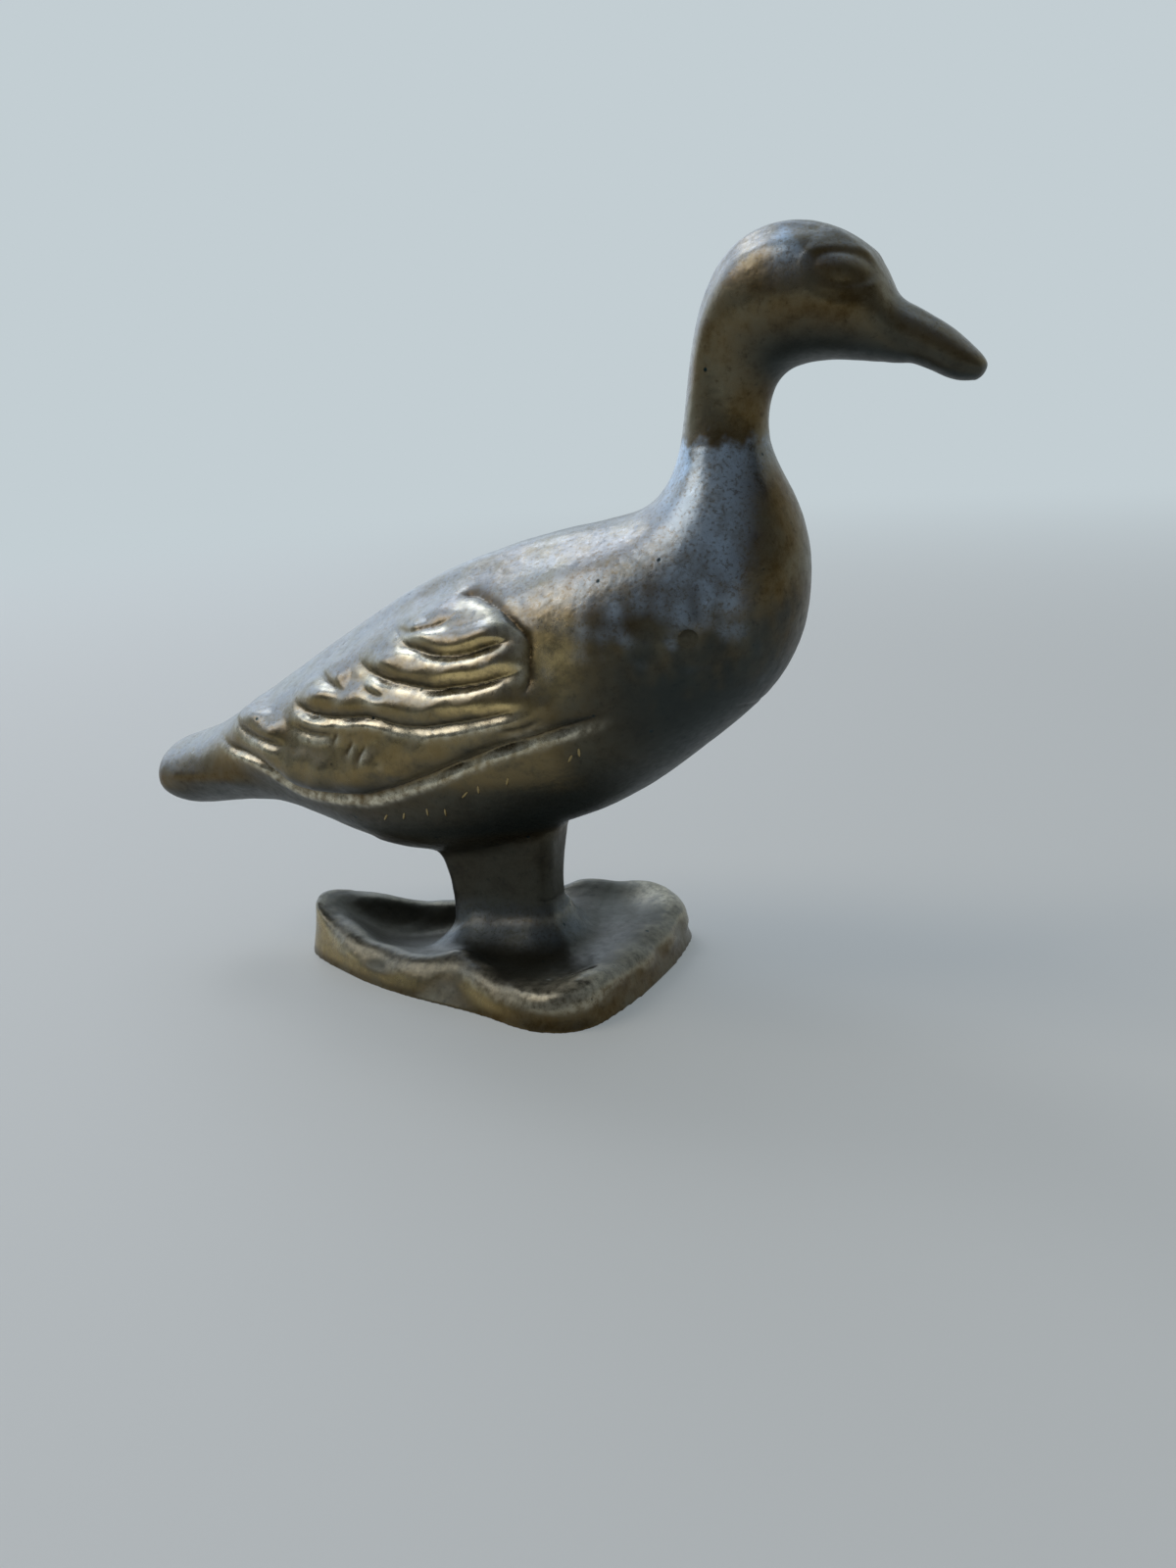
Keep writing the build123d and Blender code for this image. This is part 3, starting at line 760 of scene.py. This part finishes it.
plug_mesh = bpy.data.meshes.new("cast_plugs")
plugs.to_mesh(plug_mesh)
plugs.free()
plug_mesh.shade_smooth()
plug_tone = np.full(len(plug_mesh.vertices), PLUG_SHADE)
plug_mesh.attributes.new("painted_shade", "FLOAT", "POINT").data.foreach_set("value", plug_tone)
plug_piece = bpy.data.objects.new("cast_plugs", plug_mesh)
scene_objects.link(plug_piece)
print("plug points:", len(plug_mesh.vertices))

# %% [markdown]
# ## Old brass
# Cast brass that has stood for decades is no longer yellow: a thin brown oxide covers it, which still
# shines. The shader is a metal wherever the brass shows and turns partly matt under the painted shade and
# the bloom. Its colour goes from olive brown to a near-black painted shade underneath, a blue-grey bloom
# with a painted sky sheen lies on the shoulders, bright brass on the rolls and lips is partly rubbed and
# partly a painted highlight, and painted shade with dirt sits in the creases. Pits and casting grain are a
# little bump, and the pits are darkened too.


# %% Helpers for materials
def linear(code):
    """Linear colour from an sRGB hex value."""
    shares = [int(code[start : start + 2], 16) / 255 for start in (1, 3, 5)]
    return tuple(c / 12.92 if c <= 0.04045 else ((c + 0.055) / 1.055) ** 2.4 for c in shares) + (1.0,)


def add_node(tree, kind, inputs=None, **settings):
    """Node with its settings, and its inputs set to values or linked to other nodes' outputs."""
    node = tree.nodes.new(kind)
    for name, value in settings.items():
        setattr(node, name, value)
    for socket, value in (inputs or {}).items():
        if isinstance(value, bpy.types.NodeSocket):
            tree.links.new(value, node.inputs[socket])
        else:
            node.inputs[socket].default_value = value
    return node


def waves_per_metre(size):
    """Texture scale for a pattern whose features are size mm apart."""
    return 1 / (size * MM)


def new_material(name):
    """Material with a shader of its own and the object's coordinates."""
    material = bpy.data.materials.new(name)
    material.use_nodes = True
    tree = material.node_tree
    shader = tree.nodes["Principled BSDF"]
    coordinates = add_node(tree, "ShaderNodeTexCoord").outputs["Object"]
    return material, tree, shader, coordinates


# %% Patterns of the patinated cast brass
# Each pattern has a size in mm, a detail and a roughness. Real casting grain is finer than these specks,
# which are as coarse as they have to be to show.
PATTERNS = {
    "drift": (9, 6, 0.62), "clouds": (4.5, 8, 0.75), "grain": (1.4, 5, 0.7), "specks": (0.55, 2, 0.6),
    "swells": (1.2, 1, 0.5),
}
PIT_SPACING = 6

brass, tree, shader, spot = new_material("patinated_cast_brass")
amount = {}
for name in finish:
    amount[name] = add_node(tree, "ShaderNodeAttribute", attribute_name=name).outputs["Fac"]
for name, (size, detail, roughness) in PATTERNS.items():
    inputs = {"Vector": spot, "Scale": waves_per_metre(size), "Detail": detail, "Roughness": roughness}
    amount[name] = add_node(tree, "ShaderNodeTexNoise", inputs).outputs[0]
inputs = {"Vector": spot, "Scale": waves_per_metre(PIT_SPACING)}
amount["pit_reach"] = add_node(tree, "ShaderNodeTexVoronoi", inputs).outputs["Distance"]
print("patterns:", list(amount))

# %% Spread the patterns
# Each spread takes a pattern from its range to a new one
SPREADS = {
    "pits": ("pit_reach", 0.03, 0.07, 1.0, 0.0),
    "umber_share": ("drift", 0.35, 0.65, 0.0, 1.0),
    "earth_clouds": ("clouds", 0.50, 0.66, 0.0, 0.45),
    "earth_grain": ("grain", 0.56, 0.70, 0.0, 0.55),
    "bloom_clouds": ("clouds", 0.36, 0.54, 0.35, 1.0),
    "bloom_specks": ("specks", 0.34, 0.48, 0.45, 1.0),
    "wear_and_highlight_clouds": ("clouds", 0.38, 0.54, 0.35, 1.0),
    "rub_and_highlight_grain": ("grain", 0.36, 0.62, 0.2, 0.9),
    "grain_shine": ("grain", 0.3, 0.7, 0.24, 0.40),
}

for name, (pattern, *ends) in SPREADS.items():
    inputs = dict(zip(("From Min", "From Max", "To Min", "To Max"), ends))
    inputs["Value"] = amount[pattern]
    amount[name] = add_node(tree, "ShaderNodeMapRange", inputs).outputs[0]
print("spread patterns:", len(SPREADS))

# %% Put the patterns together
# Each sum or product is made of two values that came before it
COMBINED = (
    ("bloom_spots", "MULTIPLY", "bloom_clouds", "bloom_specks"),
    ("bloom_and_sheen_cover", "MULTIPLY", "bloom_and_sheen", "bloom_spots"),
    ("wear_and_highlight_cover", "MULTIPLY", "wear_and_highlight", "wear_and_highlight_clouds"),
    ("rub_and_highlight_cover", "MULTIPLY", "rub_and_highlight", "rub_and_highlight_grain"),
    ("roll_shade_and_dirt_cover", "MULTIPLY", "roll_shade_and_dirt", 0.75),
    ("bloom_and_sheen_matt", "MULTIPLY", "bloom_and_sheen_cover", 0.35),
    # Where the painted shade lies the brass is also matt and rougher
    ("shade_matt", "MULTIPLY", "painted_shade", 0.6),
    ("matt", "ADD", "bloom_and_sheen_matt", "shade_matt"),
    ("shade_rough", "MULTIPLY", "painted_shade", 0.15),
    ("dull", "ADD", "grain_shine", "shade_rough"),
    ("bright", "ADD", "rub_and_highlight", "wear_and_highlight"),
    ("smoothed", "MULTIPLY", "bright", 0.07),
    ("roughness", "SUBTRACT", "dull", "smoothed"),
    ("speck_height", "MULTIPLY", "specks", 0.25),
    ("grain_height", "ADD", "swells", "speck_height"),
    ("height", "SUBTRACT", "grain_height", "pits"),
)

for name, operation, first, second in COMBINED:
    inputs = {0: amount[first], 1: amount.get(second, second)}
    amount[name] = add_node(tree, "ShaderNodeMath", inputs, operation=operation).outputs[0]
print("sums and products:", len(COMBINED))

# %% Colours of the brass, from the bottom layer to the top one
OLIVE, UMBER, SHADE_AND_PITS = "#6a6350", "#625031", "#15282b"
BLOOM_AND_SHEEN, BRASS, PALE, EARTH_AND_SHADE = "#a4b8cc", "#dfc68b", "#dad3bc", "#35270f"
LAYERS = (
    ("umber_share", UMBER), ("earth_clouds", EARTH_AND_SHADE), ("earth_grain", EARTH_AND_SHADE), ("painted_shade", SHADE_AND_PITS),
    ("bloom_and_sheen_cover", BLOOM_AND_SHEEN), ("wear_and_highlight_cover", BRASS), ("rub_and_highlight_cover", PALE), ("roll_shade_and_dirt_cover", EARTH_AND_SHADE),
    ("pits", SHADE_AND_PITS),
)

# Painted light here: dark teal shade, a sky sheen in the bloom, highlights in bright and pale brass, shade
# in creases
tone = linear(OLIVE)
for name, colour in LAYERS:
    inputs = {0: amount[name], 6: tone, 7: linear(colour)}
    tone = add_node(tree, "ShaderNodeMix", inputs, data_type="RGBA").outputs[2]
tree.links.new(tone, shader.inputs["Base Color"])
print("layers of colour:", len(LAYERS))

# %% Shine of the brass
BUMP_STRENGTH, BUMP_HEIGHT = 0.22, 0.2 * MM

metal = add_node(tree, "ShaderNodeMapRange", {"Value": amount["matt"], "To Min": 1.0, "To Max": 0.0})
inputs = {"Height": amount["height"], "Strength": BUMP_STRENGTH, "Distance": BUMP_HEIGHT}
surface_bump = add_node(tree, "ShaderNodeBump", inputs)
tree.links.new(metal.outputs[0], shader.inputs["Metallic"])
tree.links.new(amount["roughness"], shader.inputs["Roughness"])
tree.links.new(surface_bump.outputs[0], shader.inputs["Normal"])
print("brass nodes:", len(tree.nodes))

# %% [markdown]
# ## Brass of the pins
# Pins like these are cut from drawn rod: smooth, even and yellow, with a thin tarnish in soft patches.
# They are hidden when the duck is whole, so the CAD's own shapes do, with a plain clean metal on them.

# %% Drawn brass of the pins
CLEAN, TARNISHED = "#b08d4a", "#8a6a34"
PIN_ROUGHNESS = 0.35
PATCH_SIZE = 3

pin_brass, tree, shader, spot = new_material("drawn_pin_brass")
inputs = {"Vector": spot, "Scale": waves_per_metre(PATCH_SIZE), "Detail": 3}
tarnish = add_node(tree, "ShaderNodeTexNoise", inputs)
inputs = {0: tarnish.outputs[0], 6: linear(CLEAN), 7: linear(TARNISHED)}
pin_tone = add_node(tree, "ShaderNodeMix", inputs, data_type="RGBA")
tree.links.new(pin_tone.outputs[2], shader.inputs["Base Color"])
shader.inputs["Metallic"].default_value = 1.0
shader.inputs["Roughness"].default_value = PIN_ROUGHNESS
for name in ("neck_dowel", "leg_dowel", "seam_dowels"):
    pin = frame["nodes"][name]
    pin.data.materials.clear()
    pin.data.materials.append(pin_brass)
print("pins:", pin_brass.name)

# %% [markdown]
# ## Feather ticks on the flank
# Under the wing the real duck has a few short strokes, each a sliver of metal that stands a hair above
# the flank. They repeat and they follow the surface, which is what Geometry Nodes is for: points are laid
# on the skin, a small sliver is placed on each and turned to the surface normal, and the instances are
# made real so that they can be saved.

# %% Points for the ticks
TICK_PLACES = (
    (-11.5, 29.5), (-8, 30), (-3.5, 31), (-0.5, 31), (4, 34.5), (6.5, 35.5), (11.5, 37), (22, 41),
    (23.5, 42),
)

tick_spots = [skin_below(tick_x, tick_z, side) for side in (-1, 1) for tick_x, tick_z in TICK_PLACES]
tick_mesh = bpy.data.meshes.new("tick_places")
tick_mesh.from_pydata(tick_spots, [], [])
tick_object = bpy.data.objects.new("feather_ticks", tick_mesh)
scene_objects.link(tick_object)
skin_object = bpy.data.objects.new("carved_skin", skin)
scene_objects.link(skin_object)
print("ticks:", len(tick_spots))

# %% Inputs of the tree
TICK_SIZES = {"Length": 1.9 * MM, "Width": 0.42 * MM, "Rise": 0.16 * MM, "Lean": math.radians(-62)}
TICK_SEED = 7

ticks = bpy.data.node_groups.new("ticks_on_skin", "GeometryNodeTree")
ticks.interface.new_socket("Geometry", in_out="INPUT", socket_type="NodeSocketGeometry")
host_socket = ticks.interface.new_socket("Host skin", in_out="INPUT", socket_type="NodeSocketObject")
size_sockets = {}
for name in TICK_SIZES:
    size_sockets[name] = ticks.interface.new_socket(name, in_out="INPUT", socket_type="NodeSocketFloat")
seed_socket = ticks.interface.new_socket("Seed", in_out="INPUT", socket_type="NodeSocketInt")
ticks.interface.new_socket("Geometry", in_out="OUTPUT", socket_type="NodeSocketGeometry")
given = add_node(ticks, "NodeGroupInput").outputs
print("sizes of a tick:", list(size_sockets))

# %% Sliver and the skin under it
host = add_node(ticks, "GeometryNodeObjectInfo", {"Object": given["Host skin"]})
host_normal = add_node(ticks, "GeometryNodeInputNormal")
on_host = add_node(
    ticks, "GeometryNodeSampleNearestSurface",
    {"Mesh": host.outputs["Geometry"], "Value": host_normal.outputs[0]}, data_type="FLOAT_VECTOR",
)
inputs = {0: given["Length"], 1: given["Width"], 2: given["Rise"]}
sliver_size = add_node(ticks, "ShaderNodeCombineXYZ", inputs)
sliver = add_node(ticks, "GeometryNodeMeshUVSphere", {"Segments": 12, "Rings": 6, "Radius": 0.5})
sliver_form = add_node(
    ticks, "GeometryNodeTransform", {"Geometry": sliver.outputs["Mesh"], "Scale": sliver_size.outputs[0]}
)
upright = add_node(ticks, "FunctionNodeAlignRotationToVector", {"Vector": on_host.outputs[0]}, axis="Z")
level = add_node(
    ticks, "FunctionNodeAlignRotationToVector", {"Rotation": upright.outputs[0], "Vector": (1.0, 0.0, 0.0)},
    axis="X", pivot_axis="Z",
)
print("nodes so far:", len(ticks.nodes))

# %% Lean of each sliver
STRAY = 0.35

inputs = {2: -STRAY, 3: STRAY, "Seed": given["Seed"]}
stray = add_node(ticks, "FunctionNodeRandomValue", inputs, data_type="FLOAT")
lean = add_node(ticks, "ShaderNodeMath", {0: given["Lean"], 1: stray.outputs[1]}, operation="ADD")
facing = add_node(ticks, "ShaderNodeSeparateXYZ", {0: on_host.outputs[0]})
side_sign = add_node(ticks, "ShaderNodeMath", {0: facing.outputs["Y"]}, operation="SIGN")
inputs = {0: lean.outputs[0], 1: side_sign.outputs[0]}
side_lean = add_node(ticks, "ShaderNodeMath", inputs, operation="MULTIPLY")
lean_turn = add_node(ticks, "ShaderNodeCombineXYZ", {2: side_lean.outputs[0]})
lean_rotation = add_node(ticks, "FunctionNodeEulerToRotation", {0: lean_turn.outputs[0]})
inputs = {0: level.outputs[0], 1: lean_rotation.outputs[0]}
turned = add_node(ticks, "FunctionNodeRotateRotation", inputs, rotation_space="LOCAL")
print("nodes so far:", len(ticks.nodes))

# %% Place and dress the slivers
placed = add_node(
    ticks, "GeometryNodeInstanceOnPoints",
    {"Points": given["Geometry"], "Instance": sliver_form.outputs[0], "Rotation": turned.outputs[0]},
)
real = add_node(ticks, "GeometryNodeRealizeInstances", {0: placed.outputs[0]})
dressed = add_node(ticks, "GeometryNodeSetMaterial", {"Geometry": real.outputs[0], "Material": brass})
add_node(ticks, "NodeGroupOutput", {0: dressed.outputs[0]})
print("nodes of the tree:", len(ticks.nodes))

# %% Run the tree
# The ticks are painted brighter as a highlight on each sliver, partly worn brass
TICK_HIGHLIGHT = 0.4

tick_maker = tick_object.modifiers.new("ticks", "NODES")
tick_maker.node_group = ticks
tick_maker[host_socket.identifier] = skin_object
tick_maker[seed_socket.identifier] = TICK_SEED
for name, value in TICK_SIZES.items():
    tick_maker[size_sockets[name].identifier] = value
graph = bpy.context.evaluated_depsgraph_get()
tick_result = bpy.data.meshes.new_from_object(tick_object.evaluated_get(graph))
tick_object.modifiers.remove(tick_maker)
tick_object.data = tick_result
bpy.data.meshes.remove(tick_mesh)
bpy.data.objects.remove(skin_object)
tick_result.shade_smooth()
tick_tone = np.full(len(tick_result.vertices), TICK_HIGHLIGHT)
tick_result.attributes.new("wear_and_highlight", "FLOAT", "POINT").data.foreach_set("value", tick_tone)
print("tick faces:", len(tick_result.polygons))

# %% [markdown]
# ## Put the pieces in the frame
# Each piece rides on the model's only body, and the CAD node it stands for is hidden.

# %% Dress and place the pieces
replaced = {
    head_piece: ("head_and_neck",),
    foot_piece: ("foot_base",),
    right_piece: ("right_body_shell",),
    left_piece: ("left_body_shell",),
    plug_piece: ("core_plugs",),
    tick_object: (),
}
for piece, nodes in replaced.items():
    piece.data.materials.clear()
    piece.data.materials.append(brass)
    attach(piece, "root")
    if nodes:
        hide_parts(*nodes)
print("pieces:", [piece.name for piece in replaced])

# %% [markdown]
# ## Table and light
# The duck stands on a plain pale table. Far from the duck the table takes the colour of the backdrop, so
# no sharp horizon cuts through the picture. Metal only looks like metal when it has something to mirror,
# so its rays see that backdrop too, bright behind the duck and darker in front. The lamps stand on the
# left, as a window does: a large soft one, a small clear pane that gives the highlights, a low one like a
# lit wall behind, and a warm one nearer to the camera.

# %% Floor
FLOOR_HALF = 3.0

floor_mesh = bpy.data.meshes.new("floor")
floor_signs = ((-1, -1), (1, -1), (1, 1), (-1, 1))
floor_corners = [(sign_x * FLOOR_HALF, sign_y * FLOOR_HALF, 0) for sign_x, sign_y in floor_signs]
floor_mesh.from_pydata(floor_corners, [], [(0, 1, 2, 3)])
floor = bpy.data.objects.new("floor", floor_mesh)
scene_objects.link(floor)
print("floor, m:", 2 * FLOOR_HALF)

# %% Painted table, which fades into the backdrop
BACKDROP = "#c3ced3"
TABLE = "#dcdad5"
TABLE_ROUGHNESS = 0.6
FADE_START, FADE_END, NEAR_SHARE = 0.25, 1.1, 0.3

table, tree, shader, spot = new_material("painted_table")
shader.inputs["Base Color"].default_value = linear(TABLE)
shader.inputs["Roughness"].default_value = TABLE_ROUGHNESS
distance = add_node(tree, "ShaderNodeVectorMath", {0: spot}, operation="LENGTH").outputs["Value"]
inputs = {"Value": distance, "From Min": FADE_START, "From Max": FADE_END, "To Min": NEAR_SHARE}
far = add_node(tree, "ShaderNodeMapRange", inputs, interpolation_type="SMOOTHSTEP").outputs[0]
rays = add_node(tree, "ShaderNodeLightPath").outputs
seen = rays["Is Camera Ray"]
for name in ("Is Glossy Ray", "Is Transmission Ray"):
    seen = add_node(tree, "ShaderNodeMath", {0: seen, 1: rays[name]}, operation="MAXIMUM").outputs[0]
far_seen = add_node(tree, "ShaderNodeMath", {0: far, 1: seen}, operation="MULTIPLY").outputs[0]
glow = add_node(tree, "ShaderNodeEmission", {"Color": linear(BACKDROP), "Strength": 1.0}).outputs[0]
mixed = add_node(tree, "ShaderNodeMixShader", {0: far_seen, 1: shader.outputs[0], 2: glow})
tree.links.new(mixed.outputs[0], tree.nodes["Material Output"].inputs["Surface"])
floor_mesh.materials.append(table)
print("table nodes:", len(tree.nodes))

# %% Room and backdrop
ROOM = "#c9d3dc"
ROOM_STRENGTH = 0.25
BEHIND = (-0.42, 0.91, 0.0)
SWEEP_START, SWEEP_END = -0.5, 0.6

world = bpy.data.worlds.new("studio")
world.use_nodes = True
tree = world.node_tree
room = tree.nodes["Background"]
room.inputs["Color"].default_value = linear(ROOM)
room.inputs["Strength"].default_value = ROOM_STRENGTH
backdrop = add_node(tree, "ShaderNodeBackground", {"Color": linear(BACKDROP), "Strength": 1.0}).outputs[0]
heading = add_node(tree, "ShaderNodeTexCoord").outputs["Generated"]
behind = add_node(tree, "ShaderNodeVectorMath", {0: heading, 1: BEHIND}, operation="DOT_PRODUCT")
inputs = {"Value": behind.outputs["Value"], "From Min": SWEEP_START, "From Max": SWEEP_END}
sweep = add_node(tree, "ShaderNodeMapRange", inputs, interpolation_type="SMOOTHSTEP").outputs[0]
rays = add_node(tree, "ShaderNodeLightPath").outputs
inputs = {0: rays["Is Glossy Ray"], 1: rays["Is Transmission Ray"]}
bounced = add_node(tree, "ShaderNodeMath", inputs, operation="MAXIMUM").outputs[0]
mirrored = add_node(tree, "ShaderNodeMath", {0: bounced, 1: sweep}, operation="MULTIPLY").outputs[0]
inputs = {0: rays["Is Camera Ray"], 1: mirrored}
seen = add_node(tree, "ShaderNodeMath", inputs, operation="MAXIMUM").outputs[0]
sky = add_node(tree, "ShaderNodeMixShader", {0: seen, 1: room.outputs[0], 2: backdrop})
tree.links.new(sky.outputs[0], tree.nodes["World Output"].inputs["Surface"])
bpy.context.scene.world = world
print("world nodes:", len(tree.nodes))

# %% Lamps
DUCK_MIDDLE = Vector((0, 0, 0.05))


def soft_lamp(name, place_m, width, height, watts, colour):
    """Flat lamp that looks at the duck's middle and stays out of the picture itself."""
    data = bpy.data.lights.new(name, "AREA")
    data.shape = "RECTANGLE"
    data.size = width
    data.size_y = height
    data.energy = watts
    data.color = linear(colour)[:3]
    lamp = bpy.data.objects.new(name, data)
    lamp.location = place_m
    lamp.rotation_mode = "QUATERNION"
    lamp.rotation_quaternion = (DUCK_MIDDLE - lamp.location).to_track_quat("-Z", "Y")
    lamp.visible_camera = False
    scene_objects.link(lamp)


soft_lamp("window", (-1.20, 0.80, 1.50), width=2.6, height=2.0, watts=13.0, colour="#d6e4fb")
soft_lamp("pane", (-1.00, 0.70, 1.35), width=0.5, height=0.5, watts=3.0, colour="#f4f8ff")
soft_lamp("wall", (-1.75, 1.00, 0.60), width=2.2, height=1.0, watts=6.0, colour="#d6e5fa")
soft_lamp("side", (-1.10, -0.60, 1.30), width=1.0, height=1.0, watts=8.0, colour="#fff6ea")
